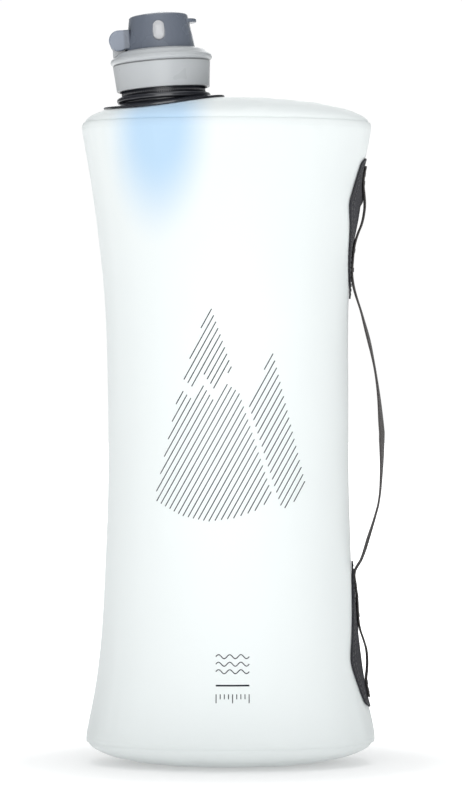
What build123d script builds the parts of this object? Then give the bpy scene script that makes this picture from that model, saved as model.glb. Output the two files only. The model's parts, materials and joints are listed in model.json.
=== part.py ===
"""Collapsible three-litre water bag: film body, threaded neck, flip cap and webbing carry strap.

Millimetres, +Z up.  The origin is the centre of the flat that the bag stands on.  The front faces -Y,
the neck leans towards -X and the carry strap is on the +X side.
"""
import os
from math import cos, pi, radians, sin, sqrt

from build123d import *

# ---- film body -----------------------------------------------------------------------------
film_thickness = 0.5
rim_half_width = 69.0            # the welded oval rims, top and bottom, are the same size
rim_half_depth = 42.0
waist_half_width = 56.9
waist_height = 145.0
top_rim_height = 303.6
bottom_bulge = 10.5              # depth of the bottom panel below its rim
top_dome_rise = 12.4             # height of the top panel above its rim
rest_half_width = 38.0           # the flat that the full bag stands on
flare_power = 2.3                # how late the sleeve flares towards its rims
weld_band_height = 4.0
weld_bead_thickness = 2.1        # film thickness that the rim weld builds up
weld_gap = 0.15                  # between a panel's upright band and the sleeve
part_gap = 0.05                  # between pieces that lie on each other in one body
sleeve_stations = 9

# ---- neck ----------------------------------------------------------------------------------
neck_x = -30.0
neck_seat_rise = 9.7             # the neck axis crosses this height above the top rim, at neck_x
neck_lean = 4.0                  # degrees, towards -X
neck_root_radius = 18.9          # at the root of the thread; the neck's and cap's other radii follow it
neck_wall = 1.9
neck_foot = -4.0                 # inside the dome, which trims it
neck_top = 20.0                  # heights in the neck and cap are measured along the leaning axis
neck_shank_step = 0.7            # the plain shank below the thread stands out this much
neck_shank_top = 6.8
flange_width = 9.2
flange_thickness = 0.8
support_ring_width = 2.7
support_ring_base = 0.9
support_ring_thickness = 2.6
support_ring_round = 1.0

# ---- screw thread --------------------------------------------------------------------------
thread_lead = 9.0                # two starts
thread_depth = 1.4
thread_flank_root = 2.2
thread_flank_crest = 1.2
thread_run_height = 8.0
thread_base = 8.6
thread_sink = 0.3                # how far each ridge is rooted in its wall
collar_thread_clearance = 0.5

# ---- collar --------------------------------------------------------------------------------
collar_base = 6.2
collar_wall = 1.2                # at the skirt's foot
collar_flare = 1.1               # from the skirt's foot to the groove under the bead
groove_drop = 1.6                # the groove's lower edge below the neck's lip
groove_depth = 0.4
groove_width = 0.4
bead_width = 1.0                 # from the skirt out to the bead's crest
bead_rise = 0.5                  # the bead's crest above the neck's lip
shoulder_rise = 4.1
shoulder_inset = 3.5             # from the bead's crest in to the shoulder
lid_seat_rise = 5.1
lid_seat_inset = 3.2             # from the shoulder in to the lid's seat
collar_deck_thickness = 2.3
gasket_thickness = 1.5
gasket_gap = 0.08
spout_outer_radius = 11.0
spout_bore_radius = 8.5
spout_rise = 10.9                # above the lid's seat, as are the lid's and hinge's heights
skirt_foot_round = 0.5
bead_round = 0.7
shoulder_round = 1.4
lid_seat_round = 0.6
spout_lip_round = 0.7

# ---- flip lid ------------------------------------------------------------------------------
lid_gap = 0.2
lid_ledge = 0.9                  # width of the seat that shows round the lid
lid_taper = 2.6                  # the lid is this much narrower, in radius, at its top
lid_rise = 16.1
lid_crown = 1.8
lid_wall = 1.7
lid_edge_round = 1.2
tab_overhang = 4.0
tab_half_width = 5.5
tab_drop = 3.3                   # the tab's middle below the lid's top edge
tab_thickness = 1.9
plug_rim = 0.4                   # the plug covers the spout's lip by this much
plug_boss_clearance = 1.3
plug_boss_taper = 0.6
plug_boss_length = 2.0
plug_gap = 0.08
edge_round = 0.6                 # rounding of the tab's and the hinge cheeks' edges
dimple_width = 6.4
dimple_length = 10.0
dimple_depth = 0.45

# ---- lid hinge -----------------------------------------------------------------------------
hinge_overhang = 2.6             # the pin's distance outside the lid's foot
hinge_rise = 5.2
pin_radius = 1.5
pin_chamfer = 0.2
pin_cover = 1.1                  # the cheek's skin over each end of the pin
pin_end_clearance = 0.1
pin_press_clearance = 0.02
pin_running_clearance = 0.07
cheek_radius = 4.85
cheek_foot_rise = 0.6            # the cheek's foot stands this much above its round
cheek_inner = 4.0
cheek_outer = 7.5
post_half_width = 3.6
post_radius = 3.8
post_inner_reach = 2.3           # the post's foot, from the pin towards the lid and away from it
post_outer_reach = 3.5
post_relief = 0.5                # between the post and the lid wall that swings past it

# ---- patches and webbing -------------------------------------------------------------------
patch_thickness = 0.6
patch_half_width = 23.2
patch_length = 67.0
patch_shoulder = 22.8            # from the outer tip to the widest place
patch_corner_round = 1.5
upper_patch_drop = 16.2          # the upper patch's tip below the top rim
lower_patch_rise = 15.9          # the lower patch's tip above the bottom rim
webbing_width = 11.0
webbing_thickness = 1.1
webbing_gap = 0.2
sewn_tip_inset = 6.0             # from the patch's outer tip to the webbing's end
loop_start = 17.0                # the lash loop stands off the patch between these two places
loop_end = 38.0
loop_lift = 1.8
lift_off = 58.0                  # where the webbing leaves the patch towards the handle
root_reach = 74.0                # where the handle begins
root_lift = 3.2
sewn_spans = 24                  # curve spans along a sewn end
handle_gap = 0.5                 # between the sewn ends and the swinging handle
handle_bow = 16.6                # how far the handle stands off the waist
handle_shares = (0.66, 0.33, 0, -0.33, -0.66)    # places along the handle, from its middle to its ends
bartack_length = 9.0
bartack_width = 1.8
bartack_height = 0.5
bartack_reaches = (8.0, 12.0, 42.0, 55.0)        # from the patch's outer tip

# ---- values worked out from the sizes above -------------------------------------------------
girth_square = rim_half_width**2 + rim_half_depth**2
bottom_dome_depth = bottom_bulge / sqrt(1 - (rest_half_width / rim_half_width) ** 2)
neck_right = Vector(cos(radians(neck_lean)), 0, sin(radians(neck_lean)))
neck_up = Vector(-sin(radians(neck_lean)), 0, cos(radians(neck_lean)))
neck_seat = Vector(neck_x, 0, top_rim_height + neck_seat_rise)
neck_axis = Axis(neck_seat, neck_up)
neck_profile = Plane(origin=neck_seat, x_dir=neck_right, z_dir=(0, -1, 0))
neck_bore_radius = neck_root_radius - neck_wall
neck_shank_radius = neck_root_radius + neck_shank_step
flange_radius = neck_shank_radius + flange_width
support_ring_radius = neck_shank_radius + support_ring_width
thread_pitch = thread_lead / 2
thread_crest_radius = neck_root_radius + thread_depth
collar_wall_radius = thread_crest_radius + collar_thread_clearance
collar_thread_crest = collar_wall_radius - thread_depth
collar_base_radius = collar_wall_radius + collar_wall
under_bead_radius = collar_base_radius + collar_flare
under_bead_height = neck_top - groove_drop
bead_radius = under_bead_radius + bead_width
bead_height = neck_top + bead_rise
shoulder_radius = bead_radius - shoulder_inset
deck_underside = neck_top + gasket_thickness + 2 * gasket_gap
deck_top = deck_underside + collar_deck_thickness
lid_seat_radius = shoulder_radius - lid_seat_inset
lid_seat_height = neck_top + lid_seat_rise
spout_top = lid_seat_height + spout_rise
lid_base = lid_seat_height + lid_gap
lid_top = lid_seat_height + lid_rise
lid_base_radius = lid_seat_radius - lid_ledge
lid_top_radius = lid_base_radius - lid_taper
lid_slope = lid_taper / (lid_top - lid_base)
lid_ceiling = lid_top - lid_wall
plug_base = spout_top + plug_gap
plug_radius = spout_outer_radius + plug_rim
plug_boss_radius = spout_bore_radius - plug_boss_clearance
tab_reach = lid_top_radius + tab_overhang
tab_height = lid_top - tab_drop
hinge_reach = lid_base_radius + hinge_overhang
hinge_height = lid_seat_height + hinge_rise
pin_half_length = cheek_outer - pin_cover
upper_patch_tip_height = top_rim_height - upper_patch_drop
lower_patch_tip_height = bottom_bulge + lower_patch_rise


def across_neck(height):
    """Plane square to the neck axis, at this height along it."""
    return Plane(origin=neck_seat + neck_up * height, x_dir=neck_right, z_dir=neck_up)


def beside_neck(reach):
    """Upright plane through the neck axis's frame, moved this far along -Y."""
    return Plane(origin=neck_seat + Vector(0, -reach, 0), x_dir=neck_right, z_dir=(0, -1, 0))


def half_width(height):
    """Half the sleeve's width: narrow at the waist, flaring late towards the rims."""
    span = top_rim_height - waist_height if height > waist_height else waist_height - bottom_bulge
    share = min(abs(height - waist_height) / span, 1.0)
    return waist_half_width + (rim_half_width - waist_half_width) * share**flare_power


def half_depth(height):
    """Half the sleeve's depth, from a girth that hardly changes along the bag."""
    return sqrt(girth_square - half_width(height) ** 2)


def sleeve_solid(grow):
    """Solid of the sleeve's outer shape, grown sideways by this much."""
    step = (top_rim_height - bottom_bulge) / (sleeve_stations - 1)
    with BuildPart() as solid:
        for station in range(sleeve_stations):
            height = bottom_bulge + step * station
            with BuildSketch(Plane.XY.offset(height)):
                Ellipse(half_width(height) + grow, half_depth(height) + grow)
        loft()
    return solid.part


def dome_solid(rim_height, side_inset, rise):
    """Half ellipsoid on an oval rim; a negative rise makes it hang below the rim."""
    wide = rim_half_width - side_inset
    deep = rim_half_depth - side_inset
    with BuildPart() as dome:
        with BuildSketch(Plane.XZ):
            with BuildLine():
                EllipticalCenterArc((0, 0), wide, abs(rise), start_angle=0, arc_size=90)
                Line((0, abs(rise)), (0, 0))
                Line((0, 0), (wide, 0))
            make_face()
        revolve(axis=Axis.Z)
        scale(by=(1, deep / wide, rise / abs(rise)))
    return dome.part.moved(Location((0, 0, rim_height)))


def weld_band(narrow_end, foot):
    """Upright oval ring of a panel, welded to the inside of the sleeve, narrower there than at its rim."""
    inset = film_thickness + weld_gap
    with BuildPart() as band:
        with BuildSketch(Plane.XY.offset(foot)):
            Ellipse(half_width(narrow_end) - inset, rim_half_depth - inset)
            bead = weld_bead_thickness
            Ellipse(rim_half_width - bead, rim_half_depth - bead, mode=Mode.SUBTRACT)
        extrude(amount=weld_band_height + film_thickness)
    return band.part


# ---- film body -----------------------------------------------------------------------------
def make_body_sleeve():
    with BuildPart() as body_sleeve:
        add(sleeve_solid(0))
        add(sleeve_solid(-film_thickness), mode=Mode.SUBTRACT)
    return body_sleeve


def make_top_panel():
    band_foot = top_rim_height - weld_band_height
    with BuildPart() as top_panel:
        add(dome_solid(top_rim_height, 0, top_dome_rise))
        inside = dome_solid(top_rim_height, weld_bead_thickness, top_dome_rise - film_thickness)
        add(inside, mode=Mode.SUBTRACT)
        add(weld_band(band_foot, band_foot))
        with BuildSketch(across_neck(-neck_top)):
            Circle(neck_bore_radius + flange_thickness)
        extrude(amount=2 * neck_top, mode=Mode.SUBTRACT)
    return top_panel


def make_bottom_panel():
    rest_sheet = bottom_dome_depth - bottom_bulge
    with BuildPart() as hollow:
        add(dome_solid(bottom_bulge, weld_bead_thickness, -bottom_dome_depth))
        with BuildSketch(Plane.XY.offset(film_thickness)):
            Rectangle(2 * rim_half_width, 2 * rim_half_depth)
        extrude(amount=-rest_sheet - film_thickness, mode=Mode.SUBTRACT)
    with BuildPart() as bottom_panel:
        add(dome_solid(bottom_bulge, 0, -bottom_dome_depth))
        with BuildSketch(Plane.XY):
            Rectangle(2 * rim_half_width, 2 * rim_half_depth)
        extrude(amount=-rest_sheet, mode=Mode.SUBTRACT)
        add(hollow.part, mode=Mode.SUBTRACT)
        add(weld_band(bottom_bulge + weld_band_height, bottom_bulge - film_thickness))
    return bottom_panel


# ---- neck and cap --------------------------------------------------------------------------
def thread_ridge(wall_radius, crest_radius, base):
    """One start of the thread: a tapered ridge rooted in a round wall."""
    sink = thread_sink if crest_radius < wall_radius else -thread_sink
    with BuildPart() as ridge:
        with BuildLine():
            run = Helix(thread_lead, thread_run_height, wall_radius, neck_seat + neck_up * base, neck_up)
        start = run @ 0
        outward = (start - neck_seat - neck_up * base).normalized()
        with BuildSketch(Plane(origin=start, x_dir=outward, z_dir=run % 0)):
            reach = crest_radius - wall_radius
            with BuildLine():
                Polyline(
                    (sink, -thread_flank_root / 2),
                    (reach, -thread_flank_crest / 2),
                    (reach, thread_flank_crest / 2),
                    (sink, thread_flank_root / 2),
                    close=True,
                )
            make_face()
        sweep(path=run, is_frenet=True)
    return ridge.part


def make_neck():
    ring_top = support_ring_base + support_ring_thickness
    with BuildPart() as flange:
        add(dome_solid(top_rim_height, -flange_thickness, top_dome_rise + flange_thickness))
        with BuildSketch(across_neck(-neck_top)):
            Circle(flange_radius)
        extrude(amount=2 * neck_top, mode=Mode.INTERSECT)
    with BuildPart() as neck:
        with BuildSketch(neck_profile):
            with BuildLine():
                Polyline(
                    (0, neck_foot),
                    (neck_shank_radius, neck_foot),
                    (neck_shank_radius, support_ring_base),
                    (support_ring_radius, support_ring_base),
                    (support_ring_radius, ring_top),
                    (neck_shank_radius, ring_top),
                    (neck_shank_radius, neck_shank_top),
                    (neck_root_radius, neck_shank_top + neck_shank_radius - neck_root_radius),
                    (neck_root_radius, neck_top),
                    (0, neck_top),
                    close=True,
                )
            make_face()
        revolve(axis=neck_axis)
        rims = neck.edges().filter_by(GeomType.CIRCLE).filter_by(is_ring_rim)
        fillet(rims, support_ring_round)
        add(flange.part)
        add(dome_solid(top_rim_height, 0, top_dome_rise), mode=Mode.SUBTRACT)
        ridge = thread_ridge(neck_root_radius, thread_crest_radius, thread_base)
        add(ridge)
        add(ridge.rotate(neck_axis, 180))
        with BuildSketch(across_neck(-neck_top)):
            Circle(neck_bore_radius)
        extrude(amount=3 * neck_top, mode=Mode.SUBTRACT)
    return neck


def is_ring_rim(edge):
    """True for the two rims of the support ring."""
    return abs(edge.radius - support_ring_radius) < part_gap


def make_cap_gasket():
    with BuildPart() as cap_gasket:
        with BuildSketch(across_neck(neck_top + gasket_gap)):
            Circle(neck_root_radius + thread_depth / 2)
            Circle(neck_bore_radius, mode=Mode.SUBTRACT)
        extrude(amount=gasket_thickness)
    return cap_gasket


def hinge_plane():
    """Upright plane whose origin is the hinge pin's middle."""
    centre = neck_seat - neck_right * hinge_reach + neck_up * hinge_height
    return Plane(origin=centre, x_dir=neck_right, z_dir=(0, -1, 0))


def collar_outline():
    """Half section of the collar: threaded skirt, groove and bead, shoulder, deck and spout."""
    well_radius = lid_base_radius - lid_wall - lid_gap
    groove_radius = under_bead_radius - groove_depth
    groove_top = under_bead_height + groove_width
    bead_head = (groove_radius, 2 * bead_height - groove_top)
    rounds = {
        (collar_base_radius, collar_base): skirt_foot_round,
        bead_head: bead_round,
        (shoulder_radius, neck_top + shoulder_rise): shoulder_round,
        (lid_seat_radius, lid_seat_height): lid_seat_round,
        (spout_outer_radius, spout_top): spout_lip_round,
        (spout_bore_radius, spout_top): spout_lip_round,
    }
    with BuildSketch(neck_profile) as outline:
        with BuildLine():
            Polyline(
                (spout_bore_radius, deck_underside),
                (collar_wall_radius, deck_underside),
                (collar_wall_radius, collar_base),
                (collar_base_radius, collar_base),
                (under_bead_radius, under_bead_height),
                (groove_radius, under_bead_height),
                (groove_radius, groove_top),
            )
            ThreePointArc((groove_radius, groove_top), (bead_radius, bead_height), bead_head)
            Polyline(
                bead_head,
                (shoulder_radius, neck_top + shoulder_rise),
                (lid_seat_radius, lid_seat_height),
                (well_radius, lid_seat_height),
                (well_radius, deck_top),
                (spout_outer_radius, deck_top),
                (spout_outer_radius, spout_top),
                (spout_bore_radius, spout_top),
                (spout_bore_radius, deck_underside),
            )
        make_face()
        for place, radius in rounds.items():
            fillet(outline.vertices().sort_by_distance(place)[0], radius)
    return outline.sketch


def hinge_post():
    """Post between the lid's cheeks, standing on the collar's shoulder, with the pin's bore."""
    foot = collar_deck_thickness + hinge_height - lid_seat_height
    with BuildPart() as post:
        with BuildSketch(hinge_plane()):
            Circle(post_radius)
            Rectangle(post_inner_reach, foot, align=(Align.MIN, Align.MAX))
            Rectangle(post_outer_reach, foot, align=(Align.MAX, Align.MAX))
            Circle(pin_radius + pin_press_clearance, mode=Mode.SUBTRACT)
        extrude(amount=post_half_width, both=True)
    return post.part


def make_cap_collar():
    with BuildPart() as cap_collar:
        revolve(collar_outline(), axis=neck_axis)
        add(hinge_post())
        ridge = thread_ridge(collar_wall_radius, collar_thread_crest, thread_base + thread_pitch / 2)
        add(ridge)
        add(ridge.rotate(neck_axis, 180))
    return cap_collar


def make_hinge_pin():
    with BuildPart() as hinge_pin:
        with BuildSketch(hinge_plane()):
            Circle(pin_radius)
        extrude(amount=pin_half_length, both=True)
        chamfer(hinge_pin.edges().filter_by(GeomType.CIRCLE), pin_chamfer)
    return hinge_pin


def lid_outline():
    """Half section of the lid's crowned cone, with its top edge rounded."""
    crown_radius = (lid_top_radius**2 + lid_crown**2) / (2 * lid_crown)
    crown_top = lid_top + lid_crown
    half_way = sqrt(crown_radius**2 - (lid_top_radius / 2) ** 2) - crown_radius + crown_top
    with BuildSketch(neck_profile) as outline:
        with BuildLine():
            Line((lid_base_radius, lid_base), (lid_top_radius, lid_top))
            ThreePointArc((lid_top_radius, lid_top), (lid_top_radius / 2, half_way), (0, crown_top))
            Polyline((0, crown_top), (0, lid_base), (lid_base_radius, lid_base))
        make_face()
        fillet(outline.vertices().sort_by_distance((lid_top_radius, lid_top))[0], lid_edge_round)
    return outline.sketch


def lid_hollow_outline():
    """Half section of the lid's hollow, flat at the top, where the plug is bonded to it."""
    foot_radius = lid_base_radius - lid_wall
    ceiling_radius = foot_radius - lid_slope * (lid_ceiling - lid_base)
    with BuildSketch(neck_profile) as outline:
        with BuildLine():
            Polyline(
                (0, lid_base),
                (foot_radius, lid_base),
                (ceiling_radius, lid_ceiling),
                (0, lid_ceiling),
                close=True,
            )
        make_face()
    return outline.sketch


def hinge_cheeks():
    """The lid's two hinge cheeks, each a round ear with a straight top edge that runs into the cone."""
    reach = hinge_reach - lid_top_radius
    with BuildPart() as cheeks:
        with BuildSketch(hinge_plane()):
            Circle(cheek_radius)
            Rectangle(reach, cheek_radius, align=(Align.MIN, Align.MIN))
            Rectangle(reach, cheek_radius - cheek_foot_rise, align=(Align.MIN, Align.MAX))
        extrude(amount=cheek_outer, both=True)
        sides = cheeks.faces().sort_by(Axis.Y)
        fillet(sides[0].edges() + sides[-1].edges(), edge_round)
        with BuildSketch(hinge_plane()):
            Rectangle(4 * cheek_radius, 4 * cheek_radius)
        extrude(amount=cheek_inner, both=True, mode=Mode.SUBTRACT)
    return cheeks.part


def thumb_tab():
    """Round-ended tab that the thumb lifts, opposite the hinge."""
    with BuildPart() as tab:
        with BuildSketch(across_neck(tab_height - tab_thickness / 2)):
            with Locations((tab_reach - tab_half_width, 0)):
                Circle(tab_half_width)
            Rectangle(tab_reach - tab_half_width, 2 * tab_half_width, align=(Align.MIN, Align.CENTER))
        extrude(amount=tab_thickness)
        flats = tab.faces().sort_by(neck_axis)
        fillet(flats[0].edges() + flats[-1].edges(), edge_round)
    return tab.part


def make_flip_lid():
    with BuildPart() as flip_lid:
        revolve(lid_outline(), axis=neck_axis)
        add(thumb_tab())
        add(hinge_cheeks())
    with BuildPart() as hollow:
        revolve(lid_hollow_outline(), axis=neck_axis)
    with BuildPart() as post_slot:
        with BuildSketch(hinge_plane()):
            Circle(post_radius + post_relief)
            Rectangle(post_inner_reach + post_relief, 3 * cheek_radius, align=(Align.MIN, Align.MAX))
        extrude(amount=cheek_inner, both=True)
    with BuildPart() as dimple:
        front = lid_base_radius - lid_taper / 2 - dimple_depth
        with BuildSketch(beside_neck(front)):
            with Locations((0, (lid_base + lid_top) / 2)):
                SlotOverall(dimple_length, dimple_width, rotation=90)
        extrude(amount=lid_base_radius)
    flip_lid.part = flip_lid.part - hollow.part - post_slot.part - dimple.part - pin_bore()
    return flip_lid


def pin_bore():
    """Blind running bores of the hinge in the lid's two cheeks."""
    with BuildPart() as bore:
        with BuildSketch(hinge_plane()):
            Circle(pin_radius + pin_running_clearance)
        extrude(amount=pin_half_length + pin_end_clearance, both=True)
    return bore.part


def make_lid_plug():
    with BuildPart() as lid_plug:
        with BuildSketch(across_neck(plug_base)):
            Circle(plug_radius)
        extrude(amount=lid_ceiling - plug_base)
        with BuildSketch(neck_profile):
            with BuildLine():
                Polyline(
                    (0, plug_base - plug_boss_length),
                    (plug_boss_radius - plug_boss_taper, plug_base - plug_boss_length),
                    (plug_boss_radius, plug_base),
                    (0, plug_base),
                    close=True,
                )
            make_face()
        revolve(axis=neck_axis)
    return lid_plug


# ---- patches and webbing -------------------------------------------------------------------
def patch_outline(tip_height, inward):
    """Kite on the +X side: tip at the rim end, widest near it, long taper towards the waist."""
    widest = tip_height + inward * patch_shoulder
    far_tip = tip_height + inward * patch_length
    with BuildSketch(Plane.YZ) as outline:
        with BuildLine():
            Polyline(
                (0, tip_height),
                (patch_half_width, widest),
                (0, far_tip),
                (-patch_half_width, widest),
                close=True,
            )
        make_face()
        fillet(outline.vertices(), patch_corner_round)
    return outline.sketch


def make_patch(tip_height, inward):
    with BuildPart() as patch:
        add(sleeve_solid(part_gap + patch_thickness))
        add(sleeve_solid(part_gap), mode=Mode.SUBTRACT)
        extrude(patch_outline(tip_height, inward), amount=2 * rim_half_width, mode=Mode.INTERSECT)
    return patch


def webbing_middle(tip_height, inward, reach, lift):
    """Point on the webbing's middle plane, this far from the patch's outer tip along the bag."""
    height = tip_height + inward * reach
    stand_off = part_gap + patch_thickness + webbing_gap + webbing_thickness / 2
    return (half_width(height) + stand_off + lift, height)


def sewn_lift(reach):
    """Height of the webbing off its patch: up over the lash loop, then off towards the handle."""
    if loop_start < reach < loop_end:
        return loop_lift * sin(pi * (reach - loop_start) / (loop_end - loop_start)) ** 2
    if reach > lift_off:
        return root_lift * ((reach - lift_off) / (root_reach - lift_off)) ** 2
    return 0


def make_sewn_end(tip_height, inward):
    """Webbing from its sewn tip, over the lash loop, to where the handle begins."""
    step = (root_reach - handle_gap - sewn_tip_inset) / sewn_spans
    reaches = [sewn_tip_inset + step * span for span in range(sewn_spans + 1)]
    return webbing_strip([webbing_middle(tip_height, inward, reach, sewn_lift(reach)) for reach in reaches])


def webbing_strip(route):
    """Flat webbing whose middle plane follows these points in the XZ plane."""
    with BuildPart() as strip:
        with BuildSketch(Plane(origin=(0, 0, 0), x_dir=(1, 0, 0), z_dir=(0, -1, 0))):
            with BuildLine():
                Spline(*route)
            trace(line_width=webbing_thickness)
        extrude(amount=webbing_width / 2, both=True)
    return strip


def handle_route():
    """Points of the handle's middle plane, from the upper root to the lower one."""
    upper = webbing_middle(upper_patch_tip_height, -1, root_reach, root_lift)
    lower = webbing_middle(lower_patch_tip_height, 1, root_reach, root_lift)
    middle = (upper[1] + lower[1]) / 2
    half = (upper[1] - lower[1]) / 2
    crown = waist_half_width + handle_bow
    bow = [(crown - (crown - upper[0]) * share**2, middle + half * share) for share in handle_shares]
    return [upper] + bow + [lower]


def make_bartacks(tip_height, inward):
    """Bars of thread that hold the webbing to its patch, one across each sewn place."""
    with BuildPart() as bartacks:
        for reach in bartack_reaches:
            middle, height = webbing_middle(tip_height, inward, reach, 0)
            slope = half_width(height + 0.5) - half_width(height - 0.5)
            outward = Vector(1, 0, -slope).normalized()
            face = Vector(middle, 0, height) + outward * (webbing_thickness / 2 + part_gap)
            with BuildSketch(Plane(origin=face, x_dir=(0, 1, 0), z_dir=outward)):
                SlotOverall(bartack_length, bartack_width)
            extrude(amount=bartack_height)
    return bartacks


def build():
    os.makedirs("parts", exist_ok=True)
    pieces = {
        "body_sleeve": make_body_sleeve(),
        "top_panel": make_top_panel(),
        "bottom_panel": make_bottom_panel(),
        "neck": make_neck(),
        "cap_gasket": make_cap_gasket(),
        "cap_collar": make_cap_collar(),
        "hinge_pin": make_hinge_pin(),
        "flip_lid": make_flip_lid(),
        "lid_plug": make_lid_plug(),
        "upper_patch": make_patch(upper_patch_tip_height, -1),
        "lower_patch": make_patch(lower_patch_tip_height, 1),
        "strap_upper_end": make_sewn_end(upper_patch_tip_height, -1),
        "strap_lower_end": make_sewn_end(lower_patch_tip_height, 1),
        "carry_strap": webbing_strip(handle_route()),
        "upper_bartacks": make_bartacks(upper_patch_tip_height, -1),
        "lower_bartacks": make_bartacks(lower_patch_tip_height, 1),
    }
    for name, piece in pieces.items():
        piece.part.label = name
        export_step(piece.part, f"parts/{name}.step")
    return pieces


if __name__ == "__main__":
    build()
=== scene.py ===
"""Collapsible water bag: a frosted film body with a moulded neck, flip cap and sewn webbing carry strap.

Metres, +Z up.  The bag stands at the origin, its front faces -Y and its strap is on the +X side.
"""
import contextlib
import json
import math

import bmesh
import bpy
from bpy.props import FloatProperty, FloatVectorProperty, IntProperty, PointerProperty
from mathutils import Matrix, Vector, noise


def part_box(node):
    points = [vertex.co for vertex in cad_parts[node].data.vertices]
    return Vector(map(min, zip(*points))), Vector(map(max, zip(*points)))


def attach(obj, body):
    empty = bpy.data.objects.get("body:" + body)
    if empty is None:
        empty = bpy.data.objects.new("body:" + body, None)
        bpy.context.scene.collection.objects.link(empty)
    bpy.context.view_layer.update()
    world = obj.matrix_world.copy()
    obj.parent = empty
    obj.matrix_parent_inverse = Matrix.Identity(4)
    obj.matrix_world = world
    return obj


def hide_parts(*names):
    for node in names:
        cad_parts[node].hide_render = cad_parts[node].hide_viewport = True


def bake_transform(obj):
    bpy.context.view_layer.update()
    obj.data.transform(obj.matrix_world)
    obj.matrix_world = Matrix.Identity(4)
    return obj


bl_info = {
    "name": "Collapsible water bag",
    "version": (1, 0, 0),
    "blender": (4, 5, 0),
    "location": "3D View > Sidebar > Water bag",
    "description": "Builds the looks of a collapsible water bag round its fixed frame",
    "category": "Object",
}

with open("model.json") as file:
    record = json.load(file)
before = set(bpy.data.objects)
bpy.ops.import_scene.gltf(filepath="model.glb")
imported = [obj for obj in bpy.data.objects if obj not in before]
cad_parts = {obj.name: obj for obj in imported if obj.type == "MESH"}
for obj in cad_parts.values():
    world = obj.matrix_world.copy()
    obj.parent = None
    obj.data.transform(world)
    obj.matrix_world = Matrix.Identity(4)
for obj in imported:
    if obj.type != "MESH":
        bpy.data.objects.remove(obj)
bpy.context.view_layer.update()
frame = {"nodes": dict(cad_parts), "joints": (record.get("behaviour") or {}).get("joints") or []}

# ---- sizes read from the frame ---------------------------------------------------------------
sleeve_low, sleeve_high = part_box("body_sleeve")
panel_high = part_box("top_panel")[1]
bottom_rim = sleeve_low.z
top_rim = sleeve_high.z
rim_half_width = sleeve_high.x
rim_half_depth = panel_high.y
dome_rise = panel_high.z - top_rim
girth_square = rim_half_width**2 + rim_half_depth**2
waist_half_width = math.sqrt(girth_square - sleeve_high.y**2)
upper_patch_low, upper_patch_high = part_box("upper_patch")
lower_patch_low, lower_patch_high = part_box("lower_patch")
handle_low, handle_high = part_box("carry_strap")
joints = {joint["name"]: joint for joint in frame["joints"]}
neck_seat = Vector(joints["cap_turn"]["pos_m"])
neck_up = Vector(joints["cap_turn"]["axis"]).normalized()
neck_right = Vector((neck_up.z, 0, -neck_up.x))
neck_turn = Matrix((neck_right, Vector((0, 1, 0)), neck_up)).transposed()

MM = 0.001
FRONT = Vector((0, -1, 0))
FULL_TURN = 2 * math.pi


# ---- settings --------------------------------------------------------------------------------
def length(label, description, millimetres):
    """Setting that holds a length."""
    return FloatProperty(name=label, description=description, default=millimetres * MM, unit="LENGTH")


def colour_of(label, description, colour):
    """Setting that holds a colour."""
    return FloatVectorProperty(name=label, description=description, subtype="COLOR", size=3, default=colour)


class FilmSettings(bpy.types.PropertyGroup):
    """Sizes of the film body."""

    thickness: length("Film thickness", "Thickness of the film", 0.5)
    waist_height: length("Waist height", "Height of the narrowest place", 145)
    rest_half_width: length("Resting half width", "Half the width that stands on the floor", 38)
    ripple: length("Ripple", "Depth of the soft waves in the film", 0.55)
    pucker: length("Pucker", "Depth of the creases beside the rim welds", 0.5)
    weld_height: length("Weld height", "Height of the welded band at each rim", 1.9)
    weld_step: length("Weld step", "How far the welded band stands out", 0.09)
    rim_round: length("Rim round", "How far the film turns in at its welded edges", 1.1)
    colour: colour_of("Film colour", "Colour of the frosted film", (0.765, 0.8, 0.797))
    tint: colour_of("Neck tint", "Colour that the film takes below the neck", (0.45, 0.615, 0.78))
    tint_half_width: length("Tint half width", "Half the width of the tint", 27)
    tint_depth: length("Tint depth", "How far down the tint reaches", 60)


class StrapSettings(bpy.types.PropertyGroup):
    """Sizes of the patches, webbing and thread."""

    webbing_width: length("Webbing width", "Width of the carry strap", 11)
    webbing_thickness: length("Webbing thickness", "Thickness of the carry strap", 0.95)
    patch_thickness: length("Patch thickness", "Thickness of the patch fabric", 0.6)
    hem: length("Hem", "Distance of the seam from the patch's edge", 1.9)
    stitch_length: length("Stitch length", "Length of one visible stitch", 1.9)
    thread_radius: length("Thread radius", "Radius of the sewing thread", 0.2)
    fabric_colour: colour_of("Patch colour", "Colour of the patch fabric", (0.028, 0.028, 0.033))
    webbing_colour: colour_of("Webbing colour", "Colour of the webbing", (0.06, 0.055, 0.054))


class PrintSettings(bpy.types.PropertyGroup):
    """Sizes of the print on the film."""

    line_radius: length("Line radius", "Half the width of a printed line", 0.27)
    hatch_spacing: length("Hatch spacing", "Distance between hatch lines", 2.3)
    hatch_slope: FloatProperty(
        name="Hatch slope", description="Slope of the hatch lines", default=math.radians(61), subtype="ANGLE"
    )
    colour: colour_of("Ink colour", "Colour of the ink", (0.012, 0.012, 0.022))


class CapSettings(bpy.types.PropertyGroup):
    """Sizes and colours of the neck and cap."""

    rib_count: IntProperty(name="Grip ribs", description="Ribs round the neck's shank", default=120, min=3)
    rib_depth: length("Rib depth", "How far a rib stands out", 0.35)
    neck_colour: colour_of("Neck colour", "Colour of the neck", (0.016, 0.017, 0.023))
    collar_colour: colour_of("Collar colour", "Colour of the collar", (0.425, 0.44, 0.452))
    lid_colour: colour_of("Lid colour", "Colour of the lid", (0.125, 0.142, 0.176))
    inlay_colour: colour_of("Inlay colour", "Colour of the lid's inlay", (0.45, 0.455, 0.47))


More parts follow.
